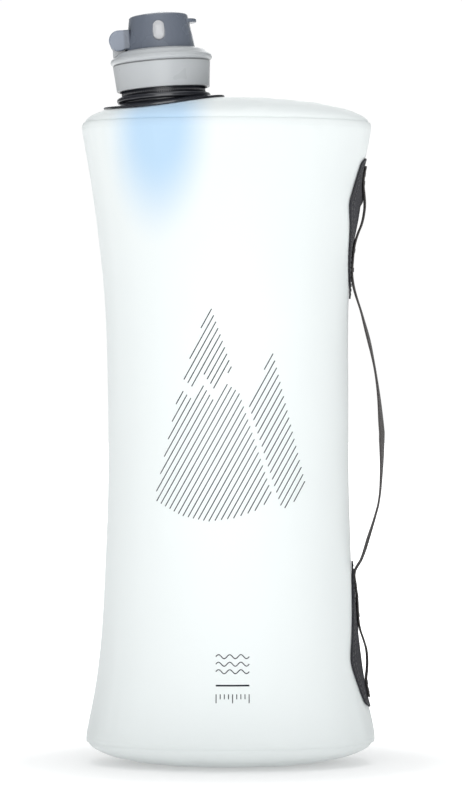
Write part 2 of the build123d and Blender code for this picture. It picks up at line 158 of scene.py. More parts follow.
class StageSettings(bpy.types.PropertyGroup):
    """Light and camera."""

    ambient: FloatProperty(name="Ambient light", description="Light from all round", default=0.5)
    key_power: FloatProperty(name="Key light", description="Power of the front light", default=18.2, unit="POWER")
    camera_distance: length("Camera distance", "Camera's distance in front of the bag", 1500)


# ---- shape of the film -----------------------------------------------------------------------
def smooth(low, high, value):
    """0 below low, 1 above high, and smooth between them."""
    share = min(max((value - low) / (high - low), 0), 1)
    return share * share * (3 - 2 * share)


def bump(centre, spread, value):
    """1 at centre, fading to nothing a couple of spreads away."""
    return math.exp(-(((value - centre) / spread) ** 2))


# Each row of these tables is a bump's size in millimetres, and its centre and spread in metres.
SLACK = ((0.3, 0.29, 0.015), (-1.15, 0.222, 0.032), (0.73, 0.095, 0.034), (0.7, 0.02, 0.012))
SAG = ((0.4, 0.02, 0.012), (-0.22, 0.222, 0.032), (-0.22, 0.095, 0.034))
STRAP_PULL = ((1.0, top_rim - 0.024, 0.01), (1.3, top_rim - 0.063, 0.013), (0.5, bottom_rim + 0.075, 0.018))
UPPER_FLARE = 2.3
LOWER_FLARE = 2.5
LONG_WAVE, SHORT_WAVE, CREASE = 0.085, 0.12, 0.035
TOP_FADE, BOTTOM_FADE, WELD_FADE = 0.016, 0.02, 0.006


def bumps(table, height):
    """Sum of a table's bumps at this height."""
    return sum(size * bump(centre, spread, height) for size, centre, spread in table)


def half_width(height):
    """Half the sleeve's width: narrow at the waist, flaring late towards the rims."""
    waist = bpy.context.scene.bag_film.waist_height
    if height > waist:
        share = min((height - waist) / (top_rim - waist), 1) ** UPPER_FLARE
    else:
        share = min((waist - height) / (waist - bottom_rim), 1) ** LOWER_FLARE
    return waist_half_width + (rim_half_width - waist_half_width) * share + bumps(SLACK, height) * MM


def half_depth(height):
    """Half the sleeve's depth, from a girth that hardly changes along the bag."""
    return math.sqrt(girth_square - half_width(height) ** 2)


def sideways(height):
    """How far the soft bag leans to one side at this height."""
    return (1.2 - 1.6 * height / top_rim + bumps(SAG, height)) * MM


def strap_pull(angle, height):
    """How far the sewn strap draws the film in, on the +X side."""
    turn = math.remainder(angle, FULL_TURN)
    return bumps(STRAP_PULL, height) * MM * bump(0, 0.42, turn)


def ripple(angle, height):
    """Soft waves of the full film, and short creases that run out of the rim welds."""
    settings = bpy.context.scene.bag_film
    east, north = math.cos(angle), math.sin(angle)
    from_top, from_bottom = top_rim - height, height - bottom_rim
    waves = noise.noise(Vector((1.5 * east + 3, 1.5 * north, height / LONG_WAVE)))
    waves += 0.35 * noise.noise(Vector((5 * east, 5 * north + 7, height / SHORT_WAVE)))
    creases = noise.noise(Vector((10 * east, 10 * north, height / CREASE + 5)))
    beside_rim = math.exp(-from_top / TOP_FADE) + math.exp(-from_bottom / BOTTOM_FADE)
    settled = smooth(0, WELD_FADE, from_top) * smooth(0, WELD_FADE, from_bottom)
    return settled * (settings.ripple * waves + settings.pucker * beside_rim * creases)


def weld(height):
    """How far the welded bands stand out at the rims."""
    settings = bpy.context.scene.bag_film
    edge = 0.25 * MM
    inner = settings.weld_height
    top = smooth(top_rim - inner - edge, top_rim - inner + edge, height)
    bottom = 1 - smooth(bottom_rim + inner - edge, bottom_rim + inner + edge, height)
    groove = bump(top_rim - inner - 2 * edge, edge, height) + bump(bottom_rim + inner + 2 * edge, edge, height)
    turned_in = max(1 - (top_rim - height) / (2 * inner), 0) ** 2
    turned_in += max(1 - (height - bottom_rim) / (3 * inner), 0) ** 2
    return settings.weld_step * (top + bottom - 0.6 * groove) - settings.rim_round * turned_in


def film_point(angle, height, lift=0.0):
    """Point on the sleeve's outer face, moved outwards by lift."""
    wide, deep = half_width(height), half_depth(height)
    east, north = math.cos(angle), math.sin(angle)
    outward = Vector((east / wide, north / deep, 0)).normalized()
    offset = lift + ripple(angle, height) + weld(height) - strap_pull(angle, height)
    return Vector((sideways(height) + wide * east, deep * north, height)) + outward * offset


# ---- mesh helpers ----------------------------------------------------------------------------
def new_object(name, data):
    """Object for this data, in the scene."""
    thing = bpy.data.objects.new(name, data)
    bpy.context.scene.collection.objects.link(thing)
    return thing


def new_piece(name, mesh, material=None):
    """Object at the origin for a finished mesh, smooth shaded."""
    mesh.polygons.foreach_set("use_smooth", [True] * len(mesh.polygons))
    if material is not None:
        mesh.materials.clear()
        mesh.materials.append(material)
    return new_object(name, mesh)


def grid_mesh(name, rows, round_and_round, flip=False, close_ends=False):
    """Mesh of quads through rows of points; round_and_round joins each row's last point to its first."""
    count = len(rows[0])
    across = count if round_and_round else count - 1
    points = [point for row in rows for point in row]
    faces = []
    for row in range(len(rows) - 1):
        for column in range(across):
            following = (column + 1) % count
            face = (
                row * count + column,
                row * count + following,
                (row + 1) * count + following,
                (row + 1) * count + column,
            )
            faces.append(face[::-1] if flip else face)
    if close_ends:
        last = (len(rows) - 1) * count
        faces.append(tuple(range(count))[:: 1 if flip else -1])
        faces.append(tuple(range(last, last + count))[:: -1 if flip else 1])
    mesh = bpy.data.meshes.new(name)
    mesh.from_pydata(points, [], faces)
    mesh.update()
    return mesh


def paint_uv(mesh, coordinates):
    """UV map in metres along the cloth, one coordinate pair per vertex."""
    layer = mesh.uv_layers.new(name="cloth")
    for loop in mesh.loops:
        layer.data[loop.index].uv = coordinates[loop.vertex_index]


def give_thickness(piece, thickness, outwards):
    """Wall of a film or fabric sheet, built on one side of it."""
    wall = piece.modifiers.new("wall", "SOLIDIFY")
    wall.thickness = thickness
    wall.offset = 1 if outwards else -1
    wall.use_even_offset = True


@contextlib.contextmanager
def editing(mesh):
    """Edit a mesh in place through a bmesh."""
    shape = bmesh.new()
    shape.from_mesh(mesh)
    yield shape
    shape.to_mesh(mesh)
    shape.free()


def face_outwards(mesh, sharp_ends=False):
    """Turn a closed mesh's faces outwards; its flat ends can have sharp edges."""
    with editing(mesh) as shape:
        bmesh.ops.recalc_face_normals(shape, faces=shape.faces)
        ends = [face for face in shape.faces if len(face.verts) > 4] if sharp_ends else []
        for edge in (edge for face in ends for edge in face.edges):
            edge.smooth = False
    return mesh


def lines_mesh(name, lines):
    """Mesh of edges only, one chain per line of points."""
    points, edges = [], []
    for line in lines:
        start = len(points)
        points.extend(line)
        edges.extend((start + step, start + step + 1) for step in range(len(line) - 1))
    mesh = bpy.data.meshes.new(name)
    mesh.from_pydata(points, edges, [])
    return mesh


def smooth_path(corners, spacing):
    """Points along a smooth curve through these corners, about this far apart."""
    curve = bpy.data.curves.new("path", "CURVE")
    curve.dimensions = "3D"
    spline = curve.splines.new("BEZIER")
    spline.bezier_points.add(len(corners) - 1)
    for handle, corner in zip(spline.bezier_points, corners):
        handle.co = corner
        handle.handle_left_type = handle.handle_right_type = "AUTO"
    spline.resolution_u = 24
    carrier = bpy.data.objects.new("path", curve)
    mesh = bpy.data.meshes.new_from_object(carrier)
    points = [vertex.co.copy() for vertex in mesh.vertices]
    bpy.data.objects.remove(carrier)
    bpy.data.curves.remove(curve)
    bpy.data.meshes.remove(mesh)
    steps = [(after - before).length for before, after in zip(points, points[1:])]
    total = sum(steps)
    count = max(2, round(total / spacing))
    path, travelled, index = [], 0.0, 0
    for number in range(count + 1):
        wanted = total * number / count
        while index < len(steps) - 1 and travelled + steps[index] < wanted:
            travelled += steps[index]
            index += 1
        share = min(max((wanted - travelled) / steps[index], 0), 1) if steps[index] else 0
        path.append(points[index].lerp(points[index + 1], share))
    return path


# ---- geometry nodes --------------------------------------------------------------------------
def node_in(tree, kind, inputs=None, **settings):
    """Node of this kind, with its settings and the values of its inputs."""
    node = tree.nodes.new(kind)
    for key, value in settings.items():
        setattr(node, key, value)
    for key, value in (inputs or {}).items():
        if isinstance(value, bpy.types.NodeSocket):
            tree.links.new(value, node.inputs[key])
        else:
            node.inputs[key].default_value = value
    return node


def maths(tree, operation, *values):
    """Result of a maths node on these numbers or sockets."""
    return node_in(tree, "ShaderNodeMath", dict(enumerate(values)), operation=operation).outputs[0]


def vectors(tree, operation, *values):
    """Result of a vector maths node on these vectors or sockets."""
    node = node_in(tree, "ShaderNodeVectorMath", dict(enumerate(values)), operation=operation)
    return node.outputs["Value" if operation in ("LENGTH", "DOT_PRODUCT") else "Vector"]


def tube_along(tree, lines, radius, sides):
    """Closed tube along chains of edges."""
    curve = node_in(tree, "GeometryNodeMeshToCurve", {"Mesh": lines})
    ring = node_in(tree, "GeometryNodeCurvePrimitiveCircle", {"Resolution": sides, "Radius": radius})
    inputs = {"Curve": curve.outputs[0], "Profile Curve": ring.outputs[0], "Fill Caps": True}
    return node_in(tree, "GeometryNodeCurveToMesh", inputs).outputs[0]


def copies_on(tree, points, instance, rotation, scale=(1, 1, 1)):
    """Copies of an instance, one on each point."""
    inputs = {"Points": points, "Instance": instance, "Rotation": rotation, "Scale": scale}
    return node_in(tree, "GeometryNodeInstanceOnPoints", inputs).outputs[0]


def geometry_tree(name, sockets):
    """Empty geometry node tree with these named inputs, and its two end nodes."""
    tree = bpy.data.node_groups.new(name, "GeometryNodeTree")
    tree.interface.new_socket("Geometry", in_out="INPUT", socket_type="NodeSocketGeometry")
    tree.interface.new_socket("Geometry", in_out="OUTPUT", socket_type="NodeSocketGeometry")
    for label, kind in sockets:
        tree.interface.new_socket(label, in_out="INPUT", socket_type="NodeSocket" + kind)
    return tree, tree.nodes.new("NodeGroupInput"), tree.nodes.new("NodeGroupOutput")


def finish_tree(tree, geometry, material, end):
    """Realize the instances and set the material, as the last nodes of a tree."""
    realize = node_in(tree, "GeometryNodeRealizeInstances", {"Geometry": geometry})
    paint = node_in(tree, "GeometryNodeSetMaterial", {"Geometry": realize.outputs[0], "Material": material})
    tree.links.new(paint.outputs[0], end.inputs[0])
    return tree


def thread_tree():
    """Round thread along every chain of edges."""
    tree, start, end = geometry_tree("thread_along_lines", [("Radius", "Float"), ("Material", "Material")])
    tube = tube_along(tree, start.outputs["Geometry"], start.outputs["Radius"], 8)
    return finish_tree(tree, tube, start.outputs["Material"], end)


def print_tree():
    """Printed lines laid on a surface: each point is cast onto it, then given a low round section."""
    sockets = [("Surface", "Object"), ("Radius", "Float"), ("Sink", "Float"), ("Material", "Material")]
    tree, start, end = geometry_tree("lines_on_surface", sockets)
    surface = node_in(
        tree, "GeometryNodeObjectInfo", {"Object": start.outputs["Surface"]}, transform_space="RELATIVE"
    )
    cast = node_in(
        tree, "GeometryNodeRaycast",
        {"Target Geometry": surface.outputs["Geometry"], "Ray Direction": -FRONT, "Ray Length": 1.0},
    )
    down = node_in(tree, "ShaderNodeCombineXYZ", {"Y": start.outputs["Sink"]})
    place = vectors(tree, "ADD", cast.outputs["Hit Position"], down.outputs[0])
    laid = node_in(
        tree, "GeometryNodeSetPosition",
        {"Geometry": start.outputs["Geometry"], "Position": place, "Selection": cast.outputs["Is Hit"]},
    )
    tube = tube_along(tree, laid.outputs[0], start.outputs["Radius"], 6)
    return finish_tree(tree, tube, start.outputs["Material"], end)


def stitch_tree():
    """Running stitches along every chain of edges: short bars of thread with a gap after each."""
    sockets = [("Stitch", "Float"), ("Gap", "Float"), ("Radius", "Float"), ("Material", "Material")]
    tree, start, end = geometry_tree("running_stitches", sockets)
    curve = node_in(tree, "GeometryNodeMeshToCurve", {"Mesh": start.outputs["Geometry"]})
    stitch, radius = start.outputs["Stitch"], start.outputs["Radius"]
    pace = maths(tree, "ADD", stitch, start.outputs["Gap"])
    places = node_in(tree, "GeometryNodeCurveToPoints", {"Curve": curve.outputs[0], "Length": pace}, mode="LENGTH")
    bar = node_in(tree, "GeometryNodeMeshUVSphere", {"Segments": 8, "Rings": 6, "Radius": radius})
    half = maths(tree, "MULTIPLY", maths(tree, "DIVIDE", stitch, radius), 0.5)
    size = node_in(tree, "ShaderNodeCombineXYZ", {"X": 1.0, "Y": 1.0, "Z": half})
    along = node_in(tree, "FunctionNodeAlignRotationToVector", {"Vector": places.outputs["Tangent"]}, axis="Z")
    bars = copies_on(tree, places.outputs["Points"], bar.outputs["Mesh"], along.outputs[0], size.outputs[0])
    return finish_tree(tree, bars, start.outputs["Material"], end)


def rib_tree():
    """Upright ribs round a ring, on an axis that the last transform tilts."""
    sockets = [
        ("Count", "Int"),
        ("Ring Radius", "Float"),
        ("Rib Size", "Vector"),
        ("Place", "Vector"),
        ("Tilt", "Rotation"),
        ("Material", "Material"),
    ]
    tree, start, end = geometry_tree("ribs_round_a_ring", sockets)
    ring = node_in(
        tree, "GeometryNodeMeshCircle",
        {"Vertices": start.outputs["Count"], "Radius": start.outputs["Ring Radius"]},
    )
    place = node_in(tree, "GeometryNodeInputPosition")
    outward = node_in(
        tree, "FunctionNodeAlignRotationToVector", {"Vector": place.outputs[0]}, axis="X", pivot_axis="Z"
    )
    rib = node_in(tree, "GeometryNodeMeshCube", {"Size": start.outputs["Rib Size"]})
    ribs = copies_on(tree, ring.outputs[0], rib.outputs["Mesh"], outward.outputs[0])
    moved = node_in(
        tree, "GeometryNodeTransform",
        {"Geometry": ribs, "Translation": start.outputs["Place"], "Rotation": start.outputs["Tilt"]},
    )
    return finish_tree(tree, moved.outputs[0], start.outputs["Material"], end)


def grow(name, mesh, tree, values):
    """Run a geometry node tree on a guide mesh and keep the result as a plain piece."""
    guide = new_object(name + "_guide", mesh)
    modifier = guide.modifiers.new("grow", "NODES")
    modifier.node_group = tree
    for item in tree.interface.items_tree:
        if item.in_out == "INPUT" and item.name in values:
            modifier[item.identifier] = values[item.name]
    bpy.context.view_layer.update()
    grown = bpy.data.meshes.new_from_object(guide.evaluated_get(bpy.context.evaluated_depsgraph_get()))
    grown.name = name
    bpy.data.objects.remove(guide)
    if not grown.polygons:
        raise RuntimeError(f"{name} came out empty")
    return new_piece(name, grown)


# ---- shader groups ---------------------------------------------------------------------------
def shader_group(name, inputs, outputs):
    """Empty shader node group with named inputs and outputs."""
    group = bpy.data.node_groups.new(name, "ShaderNodeTree")
    for label, kind, default in inputs:
        socket = group.interface.new_socket(label, in_out="INPUT", socket_type="NodeSocket" + kind)
        socket.default_value = default
    for label, kind in outputs:
        group.interface.new_socket(label, in_out="OUTPUT", socket_type="NodeSocket" + kind)
    return group, group.nodes.new("NodeGroupInput"), group.nodes.new("NodeGroupOutput")


def noise_in(tree, place, scale, detail, roughness=0.5):
    """Noise mask."""
    inputs = {"Vector": place, "Scale": scale, "Detail": detail, "Roughness": roughness}
    return node_in(tree, "ShaderNodeTexNoise", inputs).outputs["Fac"]


def ranged(tree, value, low, high, from_low=0.3, from_high=0.7, blend="LINEAR"):
    """Value between low and high, by a mask."""
    inputs = {"Value": value, "From Min": from_low, "From Max": from_high, "To Min": low, "To Max": high}
    return node_in(tree, "ShaderNodeMapRange", inputs, interpolation_type=blend).outputs[0]


def object_place(tree):
    """Place on the object, in metres."""
    return node_in(tree, "ShaderNodeTexCoord").outputs["Object"]


def grain_group():
    """Fine moulded grain: a height for bump and a slow, uneven tone for roughness and colour."""
    group, start, end = shader_group(
        "moulded_grain", [("Fineness", "Float", 900.0), ("Patch Size", "Float", 60.0)],
        [("Height", "Float"), ("Tone", "Float")],
    )
    place = object_place(group)
    fine = noise_in(group, place, start.outputs["Fineness"], 3.0, 0.6)
    slow = noise_in(group, place, start.outputs["Patch Size"], 2.0)
    group.links.new(fine, end.inputs["Height"])
    group.links.new(slow, end.inputs["Tone"])
    return group


def wear_group():
    """Mask of rubbed edges: where the rounded normal leaves the real one, broken up by noise."""
    group, start, end = shader_group(
        "edge_wear", [("Width", "Float", 0.0005), ("Break Up", "Float", 350.0)], [("Wear", "Float")]
    )
    rounded = node_in(group, "ShaderNodeBevel", {"Radius": start.outputs["Width"]}, samples=4)
    real = node_in(group, "ShaderNodeNewGeometry")
    same = vectors(group, "DOT_PRODUCT", rounded.outputs[0], real.outputs["Normal"])
    edge = ranged(group, same, 0.0, 1.0, 0.96, 0.75)
    speck = noise_in(group, object_place(group), start.outputs["Break Up"], 4.0)
    group.links.new(maths(group, "MULTIPLY", edge, speck), end.inputs["Wear"])
    return group


def weave_group():
    """Plain weave on the cloth's own coordinates in metres: thread height and thread shade."""
    group, start, end = shader_group(
        "plain_weave", [("Threads", "Float", 2000.0)], [("Height", "Float"), ("Shade", "Float")]
    )
    place = node_in(group, "ShaderNodeUVMap", uv_map="cloth")
    spread = node_in(
        group, "ShaderNodeVectorMath",
        {0: place.outputs[0], "Scale": start.outputs["Threads"]}, operation="SCALE",
    )
    parts = node_in(group, "ShaderNodeSeparateXYZ", {0: spread.outputs[0]})
    threads = []
    for axis in ("X", "Y"):
        wave = maths(group, "SINE", maths(group, "MULTIPLY", parts.outputs[axis], math.pi))
        threads.append(maths(group, "ABSOLUTE", wave))
    checks = node_in(
        group, "ShaderNodeTexChecker",
        {"Vector": spread.outputs[0], "Scale": 1.0, "Color1": (1, 1, 1, 1), "Color2": (0, 0, 0, 1)},
    )
    over = node_in(group, "ShaderNodeMix", {"Factor": checks.outputs["Fac"], 2: threads[0], 3: threads[1]})
    slubs = noise_in(group, place.outputs[0], 420.0, 3.0)
    shade = node_in(group, "ShaderNodeMix", {"Factor": 0.5, 2: over.outputs[0], 3: slubs})
    group.links.new(over.outputs[0], end.inputs["Height"])
    group.links.new(shade.outputs[0], end.inputs["Shade"])
    return group


# ---- materials -------------------------------------------------------------------------------
# Height along the neck's axis of the collar's painted groove shade.
GROOVE_HEIGHT = 18.55 * MM
# Edges, along the cap's right axis, of the lid's painted cheek highlight.
CHEEK_EDGE = (-17.4 * MM, -16.2 * MM)


def group_in(tree, name, builder, inputs=None):
    """The named shader group, built once, placed in a material."""
    node = tree.nodes.new("ShaderNodeGroup")
    node.node_tree = bpy.data.node_groups.get(name) or builder()
    for key, value in (inputs or {}).items():
        node.inputs[key].default_value = value
    return node


def new_material(name, **constants):
    """Material with one Principled shader whose plain sockets are set here."""
    material = bpy.data.materials.new(name)
    material.use_nodes = True
    shader = material.node_tree.nodes["Principled BSDF"]
    for key, value in constants.items():
        shader.inputs[key.replace("_", " ")].default_value = value
    return material, material.node_tree, shader


def opaque(colour):
    """Colour with full alpha."""
    return (*colour[:3], 1.0)


def grey(level):
    """Grey of this level."""
    return (level, level, level)


def shades(tree, factor, dark, light):
    """Colour between two, by a mask."""
    mix = tree.nodes.new("ShaderNodeMix")
    mix.data_type = "RGBA"
    tree.links.new(factor, mix.inputs["Factor"])
    for socket, value in ((mix.inputs[6], dark), (mix.inputs[7], light)):
        if isinstance(value, bpy.types.NodeSocket):
            tree.links.new(value, socket)
        else:
            socket.default_value = opaque(value)
    return mix.outputs[2]


def bumped(tree, shader, height, strength, distance):
    """Bump on the shader's normal."""
    relief = node_in(tree, "ShaderNodeBump", {"Height": height, "Strength": strength, "Distance": distance})
    tree.links.new(relief.outputs[0], shader.inputs["Normal"])


def along_axis(tree, axis, start):
    """Distance along an axis of the cap from a point this far along it."""
    from_start = vectors(tree, "SUBTRACT", object_place(tree), neck_seat + axis * start)
    return vectors(tree, "DOT_PRODUCT", from_start, axis)


def overlay(material, mask, colour):
    """Lay a colour over a finished material's own, by a mask."""
    tree = material.node_tree
    base = tree.nodes["Principled BSDF"].inputs["Base Color"]
    tree.links.new(shades(tree, mask, base.links[0].from_socket, colour), base)
    return material


def recoloured(material, mask, factor):
    """Shade a finished material lighter or darker under a mask made by this function of its node tree."""
    tree = material.node_tree
    before = tree.nodes["Principled BSDF"].inputs["Base Color"].links[0].from_socket
    shift = node_in(tree, "ShaderNodeVectorMath", {0: before, "Scale": factor}, operation="SCALE")
    return overlay(material, mask(tree), shift.outputs[0])


def groove_shade_mask(tree):
    """Painted shade in the groove under the collar's bead."""
    away = maths(tree, "ABSOLUTE", along_axis(tree, neck_up, GROOVE_HEIGHT))
    return ranged(tree, away, 1, 0, 0.15 * MM, 0.5 * MM)


def cheek_highlight_mask(tree):
    """Painted highlight on the lid's hinge cheeks, outside its wall."""
    return ranged(tree, along_axis(tree, neck_right, 0), 1, 0, *CHEEK_EDGE)


def scaled(colour, factor):
    """Lighter or darker colour."""
    return tuple(min(part * factor, 1.0) for part in colour[:3])


def grained(name, dark, light, roughness, fineness, patch_size, relief=None, masks=("Tone", "Tone"), **constants):
    """Material whose colour and roughness wander with the moulded grain, by the two named masks.

    relief is the strength and depth of its bump.
    """
    material, tree, shader = new_material(name, **constants)
    grain = group_in(tree, "moulded_grain", grain_group, {"Fineness": fineness, "Patch Size": patch_size})
    tree.links.new(shades(tree, grain.outputs[masks[0]], dark, light), shader.inputs["Base Color"])
    tree.links.new(ranged(tree, grain.outputs[masks[1]], *roughness), shader.inputs["Roughness"])
    if relief:
        bumped(tree, shader, grain.outputs["Height"], *relief)
    return material


def moulded_plastic(name, colour, roughness, lift=1.12, wear_colour=None, grain_depth=0.00002):
    """Moulded plastic with fine grain, an uneven satin and rubbed edges."""
    material = grained(
        name, scaled(colour, 1 / lift), scaled(colour, lift), (roughness * 0.9, roughness * 1.12),
        fineness=1400.0, patch_size=70.0, relief=(0.35, grain_depth), IOR=1.49,
    )
    wear = group_in(material.node_tree, "edge_wear", wear_group, {"Width": 0.00045, "Break Up": 420.0})
    return overlay(material, wear.outputs["Wear"], wear_colour or scaled(colour, 1.5))


def frosted_film():
    """Frosted film: milky, satin, slightly uneven, and tinted below the neck."""
    settings = bpy.context.scene.bag_film
    dark, light = scaled(settings.colour, 0.985), scaled(settings.colour, 1.02)
    material = grained(
        "frosted_film", dark, light, (0.42, 0.54), fineness=520.0, patch_size=16.0, relief=(0.25, 0.00003),
        IOR=1.45, Specular_IOR_Level=0.35,
    )
    tree = material.node_tree
    place = object_place(tree)
    from_neck = vectors(tree, "SUBTRACT", place, (neck_seat.x - 2 * MM, 0, top_rim))
    squeeze = (1 / settings.tint_half_width, 0, 1 / settings.tint_depth)
    reach = vectors(tree, "LENGTH", vectors(tree, "MULTIPLY", from_neck, squeeze))
    inside = ranged(tree, reach, 1.0, 0.0, 0.3, 1.05, blend="SMOOTHSTEP")
    forward = vectors(tree, "DOT_PRODUCT", place, FRONT)
    front = ranged(tree, forward, 0.0, 1.0, 12 * MM, 34 * MM, blend="SMOOTHSTEP")
    return overlay(material, maths(tree, "MULTIPLY", inside, front), settings.tint)


def woven(name, colour, threads, roughness):
    """Woven cloth with uneven threads."""
    material, tree, shader = new_material(name, Sheen_Weight=0.05, Specular_IOR_Level=0.15)
    weave = group_in(tree, "plain_weave", weave_group, {"Threads": threads})
    tone = shades(tree, weave.outputs["Shade"], scaled(colour, 0.55), scaled(colour, 1.6))
    tree.links.new(tone, shader.inputs["Base Color"])
    tree.links.new(ranged(tree, weave.outputs["Shade"], roughness, roughness + 0.15), shader.inputs["Roughness"])
    bumped(tree, shader, weave.outputs["Height"], 0.7, 0.00012)
    return material


def sewing_thread():
    """Twisted thread."""
    dark, light = (0.042, 0.042, 0.045), (0.105, 0.105, 0.1125)
    return grained(
        "sewing_thread", dark, light, (0.6, 0.8), fineness=2600.0, patch_size=300.0, relief=(0.5, 0.00005),
        masks=("Height", "Tone"), Sheen_Weight=0.2,
    )


def printing_ink():
    """Matt screen-printing ink."""
    colour = bpy.context.scene.bag_print.colour
    return grained(
        "printing_ink", scaled(colour, 0.8), scaled(colour, 1.25), (0.5, 0.65), fineness=1500.0, patch_size=200.0,
        masks=("Tone", "Height"), Specular_IOR_Level=0.3,
    )


def brushed_steel():
    """Steel of the hinge pin."""
    dark, light = (0.5, 0.5, 0.51), (0.66, 0.66, 0.67)
    return grained("brushed_steel", dark, light, (0.22, 0.36), fineness=900.0, patch_size=500.0, Metallic=1.0)


def finish_node(node_name, material):
    """Give a frame node its finish."""
    slots = frame["nodes"][node_name].material_slots
    if not slots:
        frame["nodes"][node_name].data.materials.append(material)
    for slot in slots:
        slot.material = material


# ---- pieces ----------------------------------------------------------------------------------
class BAG_OT_film(bpy.types.Operator):
    """Film sleeve and the two welded panels"""

    bl_idname = "bag.film"
    bl_label = "Film body"

    turns = 264
    sleeve_rows = 132
    panel_rows = 60

    def execute(self, context):
        film = frosted_film()
        settings = context.scene.bag_film
        angles = [FULL_TURN * step / self.turns for step in range(self.turns)]
        sleeve = new_piece("film_sleeve", self.sleeve(angles), film)
        top = new_piece("film_top_panel", self.top_panel(angles, settings), film)
        bottom = new_piece("film_bottom_panel", self.bottom_panel(angles, settings), film)
        for piece, node in ((sleeve, "body_sleeve"), (top, "top_panel"), (bottom, "bottom_panel")):
            give_thickness(piece, settings.thickness, outwards=False)
            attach(piece, "bag")
            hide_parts(node)
        return {"FINISHED"}

    def sleeve(self, angles):
        """Rows of the sleeve, closer together towards the two rims."""
        rows = []
        for step in range(self.sleeve_rows + 1):
            share = step / self.sleeve_rows
            eased = share - 0.9 * math.sin(FULL_TURN * share) / FULL_TURN
            height = bottom_rim + (top_rim - bottom_rim) * eased
            rows.append([film_point(angle, height) for angle in angles])
        return grid_mesh("film_sleeve", rows, True)

    def top_panel(self, angles, settings):
        """Domed panel between the neck's hole and the rim."""
        inset = settings.thickness + settings.rim_round
        wide, deep = rim_half_width - inset, rim_half_depth - inset
        hole_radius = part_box("cap_gasket")[1].y - 1.2 * MM
        hole = Vector((neck_seat.x, 0))
        shift = sideways(top_rim)
        rows = [[] for _ in range(self.panel_rows + 1)]
        for angle in angles:
            ray = Vector((math.cos(angle), math.sin(angle)))
            reach = self.to_rim(hole - Vector((shift, 0)), ray, wide, deep)
            for step, row in enumerate(rows):
                share = 1 - (1 - step / self.panel_rows) ** 2
                spot = hole + ray * (hole_radius + (reach - hole_radius) * share)
                east, north = (spot.x - shift) / wide, spot.y / deep
                rest = max(0, 1 - east**2 - north**2)
                height = top_rim - 0.2 * MM + (dome_rise - 0.15 * MM) * math.sqrt(rest)
                crease = noise.noise(Vector((9 * east, 6 * north, 2)))
                settled = smooth(0.0, 0.25, rest) * smooth(0.03, 0.05, (spot - hole).length)
                row.append(Vector((spot.x, spot.y, height + settings.pucker * settled * crease)))
        return grid_mesh("film_top_panel", rows, True, flip=True)

    @staticmethod
    def to_rim(start, ray, wide, deep):
        """Distance along a ray from a point inside an oval to the oval."""
        square = (ray.x / wide) ** 2 + (ray.y / deep) ** 2
        middle = start.x * ray.x / wide**2 + start.y * ray.y / deep**2
        rest = (start.x / wide) ** 2 + (start.y / deep) ** 2 - 1
        return (-middle + math.sqrt(middle**2 - square * rest)) / square

    def bottom_panel(self, angles, settings):
        """Panel that bulges down to the flat on which the full bag stands."""
        inset = settings.thickness + settings.rim_round
        wide, deep = rim_half_width - inset, rim_half_depth - inset
        depth = bottom_rim / math.sqrt(1 - (settings.rest_half_width / rim_half_width) ** 2)
        softness = 0.6 * MM
        rows = []
        for step in range(self.panel_rows + 1):
            share = math.sin(math.pi / 2 * (0.01 + 0.99 * step / self.panel_rows))
            row = []
            for angle in angles:
                east, north = share * math.cos(angle), share * math.sin(angle)
                hang = bottom_rim + 0.2 * MM - depth * math.sqrt(max(0, 1 - share**2))
                crease = noise.noise(Vector((7 * east, 5 * north, 9)))
                hang += settings.pucker * crease * smooth(1, 0.8, share) * smooth(0.45, 0.7, share)
                height = (hang + math.sqrt(hang**2 + softness**2)) / 2
                row.append(Vector((sideways(0) + wide * east, deep * north, height)))
            rows.append(row)
        mesh = grid_mesh("film_bottom_panel", rows, True)
        with editing(mesh) as shape:
            bmesh.ops.holes_fill(shape, edges=[edge for edge in shape.edges if self.is_middle(edge)])
        return mesh

    @staticmethod
    def is_middle(edge):
        """True for the small ring of edges at the panel's middle."""
        return edge.is_boundary and all(abs(vertex.co.y) < 0.01 for vertex in edge.verts)


